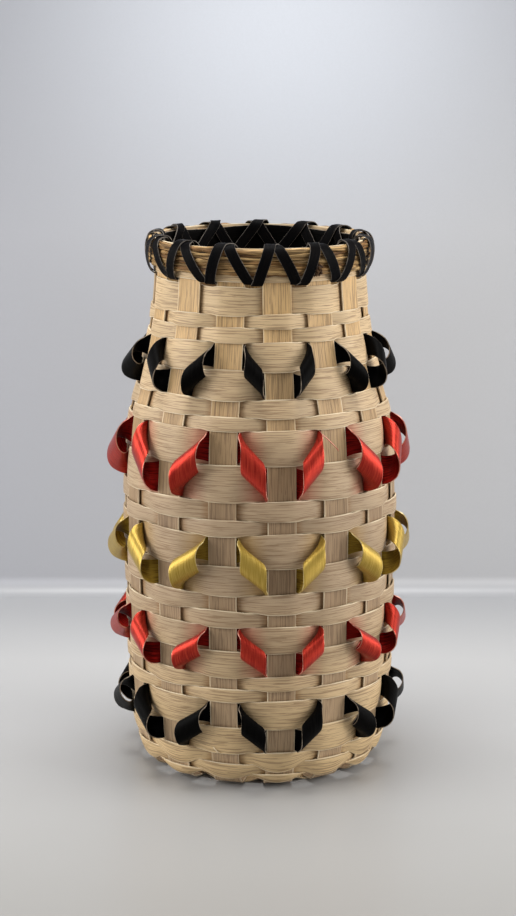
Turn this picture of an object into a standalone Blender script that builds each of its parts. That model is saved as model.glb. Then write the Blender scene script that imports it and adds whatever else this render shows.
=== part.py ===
"""Tall woven splint basket with curled overlay bands and a lashed grass rim.

Metres, +Z up. The origin is on the floor at the middle of the base, and the
front of the basket faces -Y. Angles run from the front towards +X.
"""

import math

import bmesh
import bpy
from mathutils import Vector

# Clearances between touching pieces
FIT = 0.0003
EDGE_FIT = 0.0005
CURL_EDGE_FIT = 0.0010

# Uprights
UPRIGHTS = 14
UPRIGHT_WIDTH = 0.0112
UPRIGHT_THICKNESS = 0.0007
HAND_DRIFT = math.radians(5.0)
DRIFT_CENTRE = math.radians(36.0)

# Weavers, from the rim down to the floor; two widths are the upper and the lower row
WEAVER_THICKNESS = 0.0006
RIM_ROWS = (0.0116,)
NECK_ROWS = (0.0048, 0.0052)
BLACK_TOP_ROWS = (0.0104, 0.0105)
SHOULDER_ROWS = (0.0063, 0.0044)
RED_TOP_ROWS = (0.0133, 0.0137)
UPPER_BELLY_ROWS = (0.0068, 0.0056)
GOLD_ROWS = (0.0126, 0.0109)
MID_BELLY_ROWS = (0.0068, 0.0055)
RED_LOW_ROWS = (0.0100, 0.0097)
LOWER_BELLY_ROWS = (0.0054, 0.0046)
BLACK_LOW_ROWS = (0.0109, 0.0102)
FOOT_ROWS = (0.0045, 0.0044, 0.0044)

# Floats of the foot rows are petals: how far each reaches from its upright's middle,
# how far its lower edge hangs there, from the floor up, and how far the lowest draws up
PETAL_REACH = 0.0080
PETAL_DROPS = (0.0018, 0.0030, 0.0034)
HEEL_LIFT = 0.0024

# Widest radius of the wall, at the middle of the uprights, and how far it draws in
# from there at the upper edge of each group of rows and at the floor
BELLY_RADIUS = 0.0549
RIM_DRAW_IN = 0.0136
NECK_DRAW_IN = 0.0126
NECK_FOOT_DRAW_IN = 0.0111
SHOULDER_DRAW_IN = 0.0062
SHOULDER_FOOT_DRAW_IN = 0.0026
CHEST_DRAW_IN = 0.0003
GOLD_FOOT_DRAW_IN = 0.0003
RED_LOW_DRAW_IN = 0.0006
RED_LOW_FOOT_DRAW_IN = 0.0009
HIP_DRAW_IN = 0.0012
FOOT_DRAW_IN = 0.0026
FLOOR_DRAW_IN = 0.0069

# Curled overlay strips
CURL_THICKNESS = 0.0005
CURL_INSET = 0.0012
CURL_FULLNESS = 1.35
CURL_REACH = 0.0088
CURL_ROUNDNESS = 1.5
CURL_LEAN_TURN = math.radians(100.0)
CURL_CHORDS = 8
SMALL_TURN = 0.01

# Base
BASE_WEAVERS = 3
BASE_WEAVER_WIDTH = 0.0059
BASE_MARGIN = 0.0040
CROSSING_START = 0.0220
CROSSING_RADIUS = 0.0130
CROSSING_WIDTH = 0.0044
CROSSING_BASE = 0.0012
DOME_RISE = 0.0018
HEEL_TURN = 0.0016
HEEL_GROUND = 0.0001
HEEL_TILTS = (math.radians(40.0), math.radians(75.0))

# Rim
HOOP_THICKNESS = 0.0009
HOOP_HEIGHT = 0.0130
GRASS_HEIGHT = 0.0110
GRASS_DEPTH = 0.0020
GRASS_EDGE_DEPTH = 0.0008
GRASS_CHORDS = 6
GRASS_END_UPRIGHT = 1
GRASS_END_GAP = 0.0008
RIM_DIP = 0.0017
LASH_WIDTH = 0.0042
LASH_THICKNESS = 0.0005
LASH_LIFT = 0.0008
SLOT_EASE = 0.0001
LASH_APEX_GAP = 0.0015
LASH_TURNS = (math.radians(-60.0), math.radians(-20.0), math.radians(20.0), math.radians(60.0))

# Edges sharper than this stay crisp when the solids are shaded
CRISP_ANGLE = math.radians(40.0)

# Name of the empty that every piece is parented to
CARRIER = "basket"

ASH = ("ash_splint", (0.62, 0.50, 0.34), 0.55)
ASH_UPRIGHT = ("ash_upright", (0.52, 0.38, 0.23), 0.60)
BLACK = ("black_dyed_splint", (0.012, 0.012, 0.014), 0.45)
RED = ("red_dyed_splint", (0.42, 0.012, 0.010), 0.38)
GOLD = ("gold_dyed_splint", (0.52, 0.33, 0.045), 0.38)
GRASS = ("sweetgrass", (0.58, 0.36, 0.14), 0.70)

# Each group: name, row widths, draw-in at its upper edge, dye of its curls
GROUPS = (
    ("rim_row", RIM_ROWS, RIM_DRAW_IN, None),
    ("neck", NECK_ROWS, NECK_DRAW_IN, None),
    ("black_top", BLACK_TOP_ROWS, NECK_FOOT_DRAW_IN, BLACK),
    ("shoulder", SHOULDER_ROWS, SHOULDER_DRAW_IN, None),
    ("red_top", RED_TOP_ROWS, SHOULDER_FOOT_DRAW_IN, RED),
    ("upper_belly", UPPER_BELLY_ROWS, CHEST_DRAW_IN, None),
    ("gold", GOLD_ROWS, 0.0, GOLD),
    ("mid_belly", MID_BELLY_ROWS, GOLD_FOOT_DRAW_IN, None),
    ("red_low", RED_LOW_ROWS, RED_LOW_DRAW_IN, RED),
    ("lower_belly", LOWER_BELLY_ROWS, RED_LOW_FOOT_DRAW_IN, None),
    ("black_low", BLACK_LOW_ROWS, HIP_DRAW_IN, BLACK),
    ("foot", FOOT_ROWS, FOOT_DRAW_IN, None),
)

# Where a petal has sections, from one end over its middle to the other
PETAL_SHARES = (-1.0, -0.7, -0.35, 0.0, 0.35, 0.7, 1.0)

# Levels of the weave measured outwards from the middle of an upright
OUTSIDE = UPRIGHT_THICKNESS / 2 + FIT + WEAVER_THICKNESS / 2
CURL_LEVEL = -(UPRIGHT_THICKNESS / 2 + FIT + CURL_THICKNESS / 2)
BEHIND_CURL = CURL_LEVEL - CURL_THICKNESS / 2 - FIT - WEAVER_THICKNESS / 2

# Levels of the base measured up from the floor, and its radii
BASE_LEVEL = WEAVER_THICKNESS + FIT + UPRIGHT_THICKNESS / 2
WALL_START = HEEL_TURN + EDGE_FIT
FLOOR_RADIUS = BELLY_RADIUS - FLOOR_DRAW_IN
BASE_FLAT_RADIUS = FLOOR_RADIUS - BASE_MARGIN
BASE_RISE_START = BASE_FLAT_RADIUS - HEEL_TURN - BASE_WEAVER_WIDTH - EDGE_FIT


def row_edges():
    """The height of the lower edge of every row gap, from the floor upwards."""
    edges = [WALL_START - FIT / 2]
    for _, widths, _, _ in reversed(GROUPS):
        for width in reversed(widths):
            edges.append(edges[-1] + width + FIT)
    return edges


EDGES = row_edges()
SLOT = 3 * FIT + LASH_THICKNESS + LASH_LIFT + SLOT_EASE
HOOP_BOTTOM = EDGES[-1] - FIT / 2 + SLOT
HOOP_TOP = HOOP_BOTTOM + HOOP_HEIGHT


def group_tops():
    """The height of each group's upper edge, from the floor upwards."""
    tops = []
    row = 0
    for _, widths, draw_in, _ in reversed(GROUPS):
        row += len(widths)
        tops.append((EDGES[row], BELLY_RADIUS - draw_in))
    return tops


RIM_RADIUS = BELLY_RADIUS - RIM_DRAW_IN
STATIONS = [(0.0, FLOOR_RADIUS)] + group_tops()
STATIONS.append((HOOP_TOP + GRASS_HEIGHT, RIM_RADIUS))


def wall_radius(height):
    """Radius of the middle of the uprights at a height, straight between stations."""
    for (low, low_radius), (high, high_radius) in zip(STATIONS, STATIONS[1:]):
        if height <= high:
            break
    share = (height - low) / (high - low)
    return low_radius + share * (high_radius - low_radius)


def upright_angle(index):
    """Direction of an upright: an even pitch with the slow drift of hand work."""
    even = math.tau * index / UPRIGHTS
    drift = math.sin(even - DRIFT_CENTRE) + math.sin(DRIFT_CENTRE)
    return even - HAND_DRIFT * drift


def outward(angle):
    return Vector((math.sin(angle), -math.cos(angle), 0.0))


def sideways(angle):
    return Vector((math.cos(angle), math.sin(angle), 0.0))


def at_upright(index, across, out, height):
    """A point on the flat of an upright: across its face, out from it, at a height."""
    angle = upright_angle(index)
    middle = outward(angle) * (wall_radius(height) + out)
    return middle + sideways(angle) * across + Vector((0.0, 0.0, height))


def rim_rise(index):
    """How far the rim stands above its mean height at an upright: it dips at the front."""
    return -RIM_DIP * math.cos(upright_angle(index))


def at_rim(index, across, out, height):
    """As at_upright, for the rim, which isn't quite level."""
    return at_upright(index, across, out, height + rim_rise(index))


def finish(piece, kind):
    """A piece's own material, from its kind of splint or grass."""
    name, colour, roughness = kind
    material = bpy.data.materials.new(f"{piece}_{name}")
    material.use_nodes = True
    shader = material.node_tree.nodes["Principled BSDF"]
    shader.inputs["Base Color"].default_value = (*colour, 1.0)
    shader.inputs["Roughness"].default_value = roughness
    shader.inputs["Metallic"].default_value = 0.0
    return material


def join_sections(built, here, there):
    """Faces between two sections, split along one diagonal, alike on opposite sides."""
    corners = len(here)
    rising = (here[1].co - there[2].co).length <= (here[2].co - there[1].co).length
    for corner in range(corners):
        other = (corner + 1) % corners
        if rising == (corner < corners // 2):
            built.faces.new((here[corner], here[other], there[other]))
            built.faces.new((here[corner], there[other], there[corner]))
        else:
            built.faces.new((here[corner], here[other], there[corner]))
            built.faces.new((here[other], there[other], there[corner]))


def loft(name, sections, kind, closed):
    """One solid through a row of like sections, joined end to end or capped.

    Its object stands on the basket's axis, at the height of the piece's lowest corner.
    """
    foot = Vector((0.0, 0.0, min(corner.z for section in sections for corner in section)))
    mesh = bpy.data.meshes.new(name)
    built = bmesh.new()
    rings = [[built.verts.new(corner - foot) for corner in section] for section in sections]
    for here, there in zip(rings, rings[1:]):
        join_sections(built, here, there)
    if closed:
        join_sections(built, rings[-1], rings[0])
    else:
        built.faces.new(rings[0])
        built.faces.new(reversed(rings[-1]))
    bmesh.ops.recalc_face_normals(built, faces=built.faces)
    built.to_mesh(mesh)
    built.free()
    mesh.shade_smooth()
    mesh.set_sharp_from_angle(angle=CRISP_ANGLE)
    mesh.materials.append(finish(name, kind))
    solid = bpy.data.objects.new(name, mesh)
    solid.location = foot
    solid.parent = bpy.data.objects[CARRIER]
    bpy.context.scene.collection.objects.link(solid)


def band_section(index, across, out, thickness, bottom, top):
    """The four corners of a flat band where it crosses the line across an upright."""
    half = thickness / 2
    return (
        at_upright(index, across, out - half, bottom),
        at_upright(index, across, out + half, bottom),
        at_upright(index, across, out + half, top),
        at_upright(index, across, out - half, top),
    )


def petal_sections(index, row, bottom, top):
    """A foot row's float, whose lower edge hangs down in an arc."""
    lift = HEEL_LIFT if row == 0 else 0.0
    sections = []
    for share in PETAL_SHARES:
        arch = (lift + PETAL_DROPS[row]) * math.cos(math.pi / 2 * share)
        low = bottom + lift - arch
        across = share * PETAL_REACH
        sections.append(band_section(index, across, OUTSIDE, WEAVER_THICKNESS, low, top))
    return sections


def weaver(name, row, has_curls):
    """One woven hoop: over one upright and under the next, all the way round."""
    bottom = EDGES[row] + FIT / 2
    top = EDGES[row + 1] - FIT / 2
    lift = HEEL_LIFT if row == 0 else 0.0
    is_top = row == len(EDGES) - 2
    sections = []
    for index in range(UPRIGHTS):
        over = (row + index) % 2 == 0
        if over and row < len(FOOT_ROWS):
            sections.extend(petal_sections(index, row, bottom, top))
            continue
        out, side_fit = OUTSIDE, EDGE_FIT
        if not over:
            out = BEHIND_CURL if has_curls else -OUTSIDE
            side_fit = CURL_EDGE_FIT if has_curls else EDGE_FIT
        reach = UPRIGHT_WIDTH / 2 + side_fit
        high = top + rim_rise(index) if is_top else top
        for across in (-reach, reach):
            sections.append(
                band_section(index, across, out, WEAVER_THICKNESS, bottom + lift, high)
            )
    loft(name, sections, ASH, closed=True)


def weave_wall():
    """Every hoop of the wall, from the rim down, and the curls of the wide pairs."""
    row = len(EDGES) - 2
    for group, widths, _, dye in GROUPS:
        for number in range(1, len(widths) + 1):
            weaver(f"{group}_weaver_{number}", row, dye is not None)
            row -= 1
        if dye is not None:
            curl_band(f"{group}_curls", row + 2, row + 1, min(widths), dye)


def smooth_step(share):
    share = min(max(share, 0.0), 1.0)
    return share * share * (3.0 - 2.0 * share)


def curl_sections(index, start_height, end_height, strip_width):
    """A strip's one full turn in the gap after an upright, on a slanting axis."""
    start_left = at_upright(index, UPRIGHT_WIDTH / 2, 0.0, start_height)
    start_right = at_upright(index + 1, -UPRIGHT_WIDTH / 2, 0.0, start_height)
    gap = (start_right - start_left).length
    climb = end_height - start_height
    slant = math.atan2(abs(climb), gap)
    sign = math.copysign(1.0, climb)
    turn_radius = CURL_FULLNESS * math.hypot(gap, climb) * math.tan(slant) / math.tau
    side_radius = turn_radius * math.sin(slant)
    rise_radius = turn_radius * math.cos(slant)

    def centre(turn):
        along = gap * turn / math.tau + side_radius * math.sin(turn)
        height = climb * turn / math.tau - sign * rise_radius * math.sin(turn)
        out = CURL_LEVEL + CURL_REACH * abs(math.sin(turn / 2)) ** CURL_ROUNDNESS
        return along, start_height + height, out

    def place(along, height, out):
        left = at_upright(index, UPRIGHT_WIDTH / 2, 0.0, height)
        right = at_upright(index + 1, -UPRIGHT_WIDTH / 2, 0.0, height)
        face = (upright_angle(index) + upright_angle(index + 1)) / 2
        return left.lerp(right, along / gap) + outward(face) * out

    sections = []
    for chord in range(1, CURL_CHORDS):
        turn = math.tau * chord / CURL_CHORDS
        along, height, out = centre(turn)
        lean = smooth_step(min(turn, math.tau - turn) / CURL_LEAN_TURN)
        shift = lean * gap / abs(climb) * sign * strip_width / 2
        upper = place(along + shift, height + strip_width / 2, out)
        lower = place(along - shift, height - strip_width / 2, out)
        behind, ahead = (place(*centre(turn + nudge)) for nudge in (-SMALL_TURN, SMALL_TURN))
        face = (ahead - behind).cross(upper - lower).normalized() * CURL_THICKNESS / 2
        sections.append((lower - face, lower + face, upper + face, upper - face))
    return sections


def curl_band(name, upper_row, lower_row, narrow_row, dye):
    """One overlay strip that zigzags between two rows and curls in every gap."""
    middles = [(EDGES[row] + EDGES[row + 1]) / 2 for row in (upper_row, lower_row)]
    strip_width = narrow_row - CURL_INSET
    sections = []
    for index in range(UPRIGHTS):
        in_upper = (upper_row + index) % 2 == 1
        here, there = middles if in_upper else reversed(middles)
        low = here - strip_width / 2
        high = here + strip_width / 2
        for across in (-UPRIGHT_WIDTH / 2, UPRIGHT_WIDTH / 2):
            sections.append(
                band_section(index, across, CURL_LEVEL, CURL_THICKNESS, low, high)
            )
        sections.extend(curl_sections(index, here, there, strip_width))
    loft(name, sections, dye, closed=True)


def base_height(radius):
    """Height of the middle of a splint in the base, rising towards the crossing."""
    if radius >= BASE_RISE_START:
        return BASE_LEVEL
    share = (BASE_RISE_START - radius) / (BASE_RISE_START - CROSSING_START)
    return BASE_LEVEL + share * DOME_RISE


def base_width(radius):
    """Width of a splint in the base, drawn in towards the crossing."""
    share = (BASE_FLAT_RADIUS - radius) / (BASE_FLAT_RADIUS - CROSSING_RADIUS)
    return UPRIGHT_WIDTH + share * (CROSSING_WIDTH - UPRIGHT_WIDTH)


def splint_section(index, radius, height, width, tilt):
    """A splint's four corners; tilt turns its outer face from outwards to down."""
    angle = upright_angle(index)
    centre = outward(angle) * radius + Vector((0.0, 0.0, height))
    face = outward(angle) * math.cos(tilt) - Vector((0.0, 0.0, math.sin(tilt)))
    half = face * UPRIGHT_THICKNESS / 2
    side = sideways(angle) * width / 2
    return centre - side - half, centre - side + half, centre + side + half, centre + side - half


def splint_half(index, crossing_height):
    """Sections of one upright from its top end down the wall and in to the crossing."""
    top = HOOP_TOP - FIT + rim_rise(index)
    sections = [splint_section(index, wall_radius(top), top, UPRIGHT_WIDTH, 0.0)]
    for height, radius in reversed(STATIONS[1:-1]):
        sections.append(splint_section(index, radius, height, UPRIGHT_WIDTH, 0.0))
    turn_radius = wall_radius(HEEL_TURN)
    ground = HEEL_GROUND + UPRIGHT_THICKNESS / 2
    bend = (
        (turn_radius, HEEL_TURN, 0.0),
        (turn_radius - HEEL_TURN / 3, (HEEL_TURN + ground) / 2, HEEL_TILTS[0]),
        (turn_radius - HEEL_TURN, ground, HEEL_TILTS[1]),
        (BASE_FLAT_RADIUS, BASE_LEVEL, math.pi / 2),
    )
    for radius, height, tilt in bend:
        sections.append(splint_section(index, radius, height, UPRIGHT_WIDTH, tilt))
    for radius in (BASE_RISE_START, CROSSING_START):
        sections.append(
            splint_section(index, radius, base_height(radius), base_width(radius), math.pi / 2)
        )
    sections.append(
        splint_section(index, CROSSING_RADIUS, crossing_height, CROSSING_WIDTH, math.pi / 2)
    )
    return sections


def upright_splint(number):
    """One long splint: down the wall, across the base and up the far side."""
    crossing_height = CROSSING_BASE + number * (UPRIGHT_THICKNESS + FIT)
    first = splint_half(number, crossing_height)
    second = splint_half(number + UPRIGHTS // 2, crossing_height)
    far_side = [tuple(reversed(section)) for section in reversed(second)]
    loft(f"upright_splint_{number + 1}", first + far_side, ASH_UPRIGHT, closed=False)


def base_weaver(number):
    """A flat ring of the base, under one splint and over the next."""
    outer = BASE_FLAT_RADIUS - HEEL_TURN - (number - 1) * (BASE_WEAVER_WIDTH + FIT)
    inner = outer - BASE_WEAVER_WIDTH
    sections = []
    for index in range(UPRIGHTS):
        level = -OUTSIDE if (number + index) % 2 == 0 else OUTSIDE
        angle = upright_angle(index)
        for side in (-1.0, 1.0):
            corners = []
            for radius, face in ((inner, -1), (inner, 1), (outer, 1), (outer, -1)):
                across = side * (base_width(radius) / 2 + EDGE_FIT)
                height = base_height(radius) + level + face * WEAVER_THICKNESS / 2
                point = outward(angle) * radius + sideways(angle) * across
                corners.append(point + Vector((0.0, 0.0, height)))
            sections.append(tuple(corners))
    loft(f"base_weaver_{number}", sections, ASH, closed=True)


def rim_hoop(name, side, kind):
    """A hoop along the top of the wall, outside or inside the uprights."""
    out = side * (UPRIGHT_THICKNESS / 2 + FIT + HOOP_THICKNESS / 2)
    sections = []
    for index in range(UPRIGHTS):
        reach = UPRIGHT_WIDTH / 2 + EDGE_FIT
        low = HOOP_BOTTOM + rim_rise(index)
        for across in (-reach, reach):
            sections.append(
                band_section(index, across, out, HOOP_THICKNESS, low, low + HOOP_HEIGHT)
            )
    loft(name, sections, kind, closed=True)


# Levels of the rim measured outwards from the middle of an upright
HOOP_FACE = UPRIGHT_THICKNESS / 2 + FIT + HOOP_THICKNESS
GRASS_BACK = HOOP_FACE + FIT
GRASS_TOP = HOOP_TOP + FIT


def roll_point(turn, clear):
    """A point round the roll's outer side, from its foot at -90 degrees to its top at 90."""
    swell = GRASS_DEPTH - GRASS_EDGE_DEPTH
    out = GRASS_BACK + GRASS_EDGE_DEPTH + (swell + clear) * math.cos(turn)
    middle = GRASS_TOP - GRASS_HEIGHT / 2
    return out, middle + (GRASS_HEIGHT / 2 + clear) * math.sin(turn)


def grass_outline():
    """The roll's section: flat against the hoop and rounded outside."""
    outline = []
    for chord in range(GRASS_CHORDS + 1):
        outline.append(roll_point(math.pi * (chord / GRASS_CHORDS - 0.5), 0.0))
    outline.append((GRASS_BACK, GRASS_TOP - GRASS_EDGE_DEPTH / 2))
    outline.append((GRASS_BACK, GRASS_TOP - GRASS_HEIGHT + GRASS_EDGE_DEPTH / 2))
    return outline


def grass_bundle():
    """The sweetgrass roll outside the rim, with its two cut ends butted together."""
    reach = UPRIGHT_WIDTH / 2 + EDGE_FIT
    stations = [(GRASS_END_UPRIGHT, GRASS_END_GAP / 2), (GRASS_END_UPRIGHT, reach)]
    for step in range(1, UPRIGHTS):
        index = GRASS_END_UPRIGHT + step
        stations.extend([(index, -reach), (index, reach)])
    last = GRASS_END_UPRIGHT + UPRIGHTS
    stations.extend([(last, -reach), (last, -GRASS_END_GAP / 2)])
    outline = grass_outline()
    sections = []
    for index, across in stations:
        sections.append([at_rim(index, across, out, height) for out, height in outline])
    loft("sweetgrass_bundle", sections, GRASS, closed=False)


def lash_loop(lift):
    """One wrap round the rim, as distance out and height: outer side, then inner side."""
    clear = FIT + LASH_THICKNESS / 2 + lift
    slot = HOOP_BOTTOM - clear - SLOT_EASE
    top = GRASS_TOP + clear
    outer = [(HOOP_FACE + clear, slot)]
    outer.extend(roll_point(turn, clear) for turn in LASH_TURNS)
    outer.append((GRASS_BACK + GRASS_EDGE_DEPTH, top))
    inner = [(-HOOP_FACE - clear, top), (-HOOP_FACE - clear, slot)]
    return outer, inner


def lash_point(pitch, out, height):
    """A point round the rim at a share of the uprights' pitch, and its sideways direction."""
    index = math.floor(pitch)
    angle = upright_angle(index)
    angle += (pitch - index) * (upright_angle(index + 1) - angle)
    radius = RIM_RADIUS + out
    if out > 0:
        radius = math.hypot(radius, UPRIGHT_WIDTH / 2 + EDGE_FIT)
    height -= RIM_DIP * math.cos(angle)
    return outward(angle) * radius + Vector((0.0, 0.0, height)), sideways(angle)


def lash_points(direction, lift):
    """The strip's middle line: up across half a pitch outside, down across half inside."""
    outer, inner = lash_loop(lift)
    slot = outer[0][1]
    rise = outer[-1][1] - slot
    pitch_length = math.tau * RIM_RADIUS / UPRIGHTS
    half_climb = 0.5 - LASH_APEX_GAP / pitch_length / 2
    points = []
    for gap in range(UPRIGHTS):
        for out, height in outer:
            climb = half_climb * (height - slot) / rise
            points.append(lash_point(0.5 + direction * (gap + climb), out, height))
        for out, height in inner:
            climb = 1.0 - half_climb * (height - slot) / rise
            points.append(lash_point(0.5 + direction * (gap + climb), out, height))
    return points


def rim_pass(name, direction, lift):
    """A lashing strip wound once round the whole rim through every gap."""
    points = lash_points(direction, lift)
    sections = []
    for number, (point, across) in enumerate(points):
        coming = (point - points[number - 1][0]).normalized()
        going = (points[(number + 1) % len(points)][0] - point).normalized()
        along = (coming + going).normalized()
        half = along.cross(across).normalized() * LASH_THICKNESS / 2 / along.dot(going)
        side = across * LASH_WIDTH / 2
        sections.append(
            (point - side - half, point - side + half, point + side + half, point + side - half)
        )
    loft(name, sections, BLACK, closed=True)


def clear_scene():
    for item in list(bpy.data.objects):
        bpy.data.objects.remove(item, do_unlink=True)


def add_carrier():
    """The empty that carries every piece, on the floor at the middle of the base."""
    carrier = bpy.data.objects.new(CARRIER, None)
    bpy.context.scene.collection.objects.link(carrier)


def main():
    clear_scene()
    add_carrier()
    for number in range(UPRIGHTS // 2):
        upright_splint(number)
    for number in range(1, BASE_WEAVERS + 1):
        base_weaver(number)
    weave_wall()
    rim_hoop("outer_rim_hoop", 1.0, ASH)
    rim_hoop("inner_rim_hoop", -1.0, BLACK)
    grass_bundle()
    rim_pass("lashing_forward", 1, LASH_LIFT)
    rim_pass("lashing_back", -1, 0.0)


main()
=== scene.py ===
"""Photographed look of the tall curled splint basket, woven strip by strip over its frame.

Metres, +Z up. The front of the basket faces -Y, and angles run from the front towards +X.
Wall space is an angle, a height and a distance out from the middle of the uprights.
"""

import math
from collections import namedtuple

import bpy
import numpy as np
from mathutils import Matrix, Vector


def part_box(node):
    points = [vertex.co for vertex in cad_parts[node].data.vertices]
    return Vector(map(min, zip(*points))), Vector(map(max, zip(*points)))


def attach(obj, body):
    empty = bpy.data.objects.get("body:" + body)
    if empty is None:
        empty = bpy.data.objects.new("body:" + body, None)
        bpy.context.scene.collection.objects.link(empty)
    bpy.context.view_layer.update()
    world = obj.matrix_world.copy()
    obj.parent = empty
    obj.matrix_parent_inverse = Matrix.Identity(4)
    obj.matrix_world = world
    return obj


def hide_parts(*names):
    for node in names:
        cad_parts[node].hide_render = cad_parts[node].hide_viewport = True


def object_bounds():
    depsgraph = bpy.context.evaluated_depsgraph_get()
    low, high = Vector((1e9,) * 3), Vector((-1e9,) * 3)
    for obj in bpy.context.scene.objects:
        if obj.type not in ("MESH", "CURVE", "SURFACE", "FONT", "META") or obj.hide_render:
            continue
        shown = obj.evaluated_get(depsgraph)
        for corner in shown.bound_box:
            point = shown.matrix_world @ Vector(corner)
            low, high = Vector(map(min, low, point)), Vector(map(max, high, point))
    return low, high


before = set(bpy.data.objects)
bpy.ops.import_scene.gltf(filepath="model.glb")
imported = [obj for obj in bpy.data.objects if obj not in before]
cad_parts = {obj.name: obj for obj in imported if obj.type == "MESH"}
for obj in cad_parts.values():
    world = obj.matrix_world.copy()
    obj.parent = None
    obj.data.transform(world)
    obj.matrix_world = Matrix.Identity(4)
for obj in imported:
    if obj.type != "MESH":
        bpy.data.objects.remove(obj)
cad_low, cad_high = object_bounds()
UP = Vector((0.0, 0.0, 1.0))

Wood = namedtuple("Wood", "foot low high line grain")
Grain = namedtuple("Grain", "length width start amount")
# A tint by how far a strip is tucked under, used for painted shade and for dye bleed with painted
# reflected colour
StainAndPaintedLight = namedtuple("StainAndPaintedLight", "colour start end amount")
Dye = namedtuple("Dye", "deep bright inner edge satin specular roughness")
Grass = namedtuple("Grass", "pale tan brown amount")

# Camera of the photograph, in pixels and metres
IMAGE_HEIGHT = 916
FOCAL_PIXELS = 1841.0
AXIS_SHIFT_PIXELS = 1.72
SENSOR_MM = 36.0
CAMERA_DISTANCE = 0.7452
CAMERA_HEIGHT = 0.2763
CAMERA_PITCH = math.radians(11.46)
CAMERA_AZIMUTH = math.radians(-9.0)

# Strips as the frame has them
FIT = 0.0003
UPRIGHT_WIDTH = 0.0112
UPRIGHT_THICKNESS = 0.0007
WEAVER_THICKNESS = 0.0006
CURL_THICKNESS = 0.0005
HOOP_THICKNESS = 0.0009
HEEL_WIDTH = 0.0044
FOOT_ROWS = 3

# Reading the frame
TOP_ZONE = 0.006
HEEL_TOP = 0.0015
WALL_RADIUS_LEAST = 0.04
MERGE_PLACES = 5
PROFILE_STEP = 0.0002
PROFILE_SOFTNESS = 0.0035
PROFILE_MARGIN = 0.02
WALL_LIFT = 0.00012

# Cross-section of every strip: shares of the width, and of the thickness there
SHARES = np.array((0.0, 0.02, 0.1, 0.3, 0.5, 0.7, 0.9, 0.98, 1.0))
ROUNDING = np.array((0.7, 0.92, 1.0, 1.0, 1.0, 1.0, 1.0, 0.92, 0.7))
STRIP_SHIFT = 0.173
UV = "strip"
EDGE = "edge"
TUCK = "tuck"
SIDE = "side"

# Weaving
STEPS_PER_PITCH = 24
HELD_SHARE = 0.5
FLOAT_BOW = 0.00035
OVERLAP = 0.00045
OVERLAP_START = 0.35
ROW_GAP = 0.00006
WANDER = 0.00018
WANDER_WAVES = 6
WAVE_SIZES = (0.4, 1.0)
CUP = 0.0001
PETAL_DROPS = (0.0028, 0.0024, 0.0036)
PETAL_LIFTS = (0.0038, 0.0, 0.0)
PETAL_TURNS = (0.0009, 0.0006, 0.0006)
SEED = 14

# Curled strips, by the same rule as the frame's
CURL_INSET = 0.0012
CURL_SWAY = 1.08
CURL_SWING = 0.26
CURL_SLANT = 0.86
CURL_SQUEEZE = 0.26
CURL_SAG = 0.08
CURL_VARIETY = 0.08
CURL_TILT = 0.0009
CURL_REACH = 0.0088
CURL_ROUNDNESS = 1.5
CURL_LEAN_TURN = math.radians(100.0)
CURL_STEPS = 40
FLAT_STEPS = 6

# Base
GROUND_CLEAR = 0.0001
BASE_FLAT_RADIUS = 0.044
CROSSING_RADIUS = 0.013
CROSSING_WIDTH = 0.0044
CROSSING_LOW = 0.0012
CROSSING_STEP = 0.001
CROSSING_START = 0.022
DOME_RISE = 0.0018
HEEL_TURN = 0.0016
BASE_WEAVERS = 3
BASE_WEAVER_WIDTH = 0.0059
PATH_STEP = 0.0008
PATH_SOFTNESS = 3

# Rim
RIM_DIP = 0.0017
INNER_HOOP_DROP = 0.0008
INNER_HOOP_WAVES = 0.45
GRASS_DEPTH = 0.002
GRASS_EDGE_DEPTH = 0.0008
STEM_COUNT = 11
STEM_RADIUS = 0.0008
STEM_SIDES = 8
STEM_WANDER = 0.00007
STEM_WAVES = 16
STEM_STEPS = 20
STEM_SIZES = (0.6, 1.1)
STEM_INSETS = (1.0, 1.5)
STEM_CRINKLE = 0.05
CORE_INSET = 0.0011
CORE_POINTS = 13

# Loose ends and fibres: pitches round from the front upright, heights and distances out
FIBRE_STEPS = 12
FIBRE_SIDES = 6
FIBRE_BOW = 0.0007
FIBRE_TAPER = 0.35
FIBRE_RADIUS = 0.00027
RED_FIBRE = ((0.665, 0.1449, 0.0052), (1.01, 0.1376, 0.003))
FOOT_FIBRE = ((-1.2, 0.0185, 0.0012), (-1.05, 0.0155, 0.0018))
BELLY_FIBRE = ((1.52, 0.0295, 0.003), (1.6, 0.0262, 0.0016))
CUT_ENDS = 30
CUT_PLACE = 0.86
CUT_SPREAD = 0.055
CUT_TURNS = (-1.05, -0.15)
CUT_DROPS = (0.0001, 0.001)
CUT_REACHES = (0.00034, 0.0017)
CUT_RADIUS = 0.00055

# Lashing
LASH_WIDTH = 0.0043
LASH_THICKNESS = 0.0004
LASH_LIFTS = (0.0009, 0.0004)
LASH_SLOT_SPREAD = 0.07
LASH_CLIMBS = (0.25, 0.43)
LASH_OVER_TOP = 0.06
LASH_VARIETY = 0.03
LASH_STEPS = 60
LASH_FOOT_TURN = math.radians(-80.0)
LASH_TOP_TURN = math.radians(88.0)
LASH_SOFTNESS = 3

# Looks, with marks sized along and across a strip, and ranges as from, to, low and high
FINE_DETAIL = 3.0
MIDDLE_DETAIL = 2.0
SOFT_DETAIL = 1.0

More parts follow.
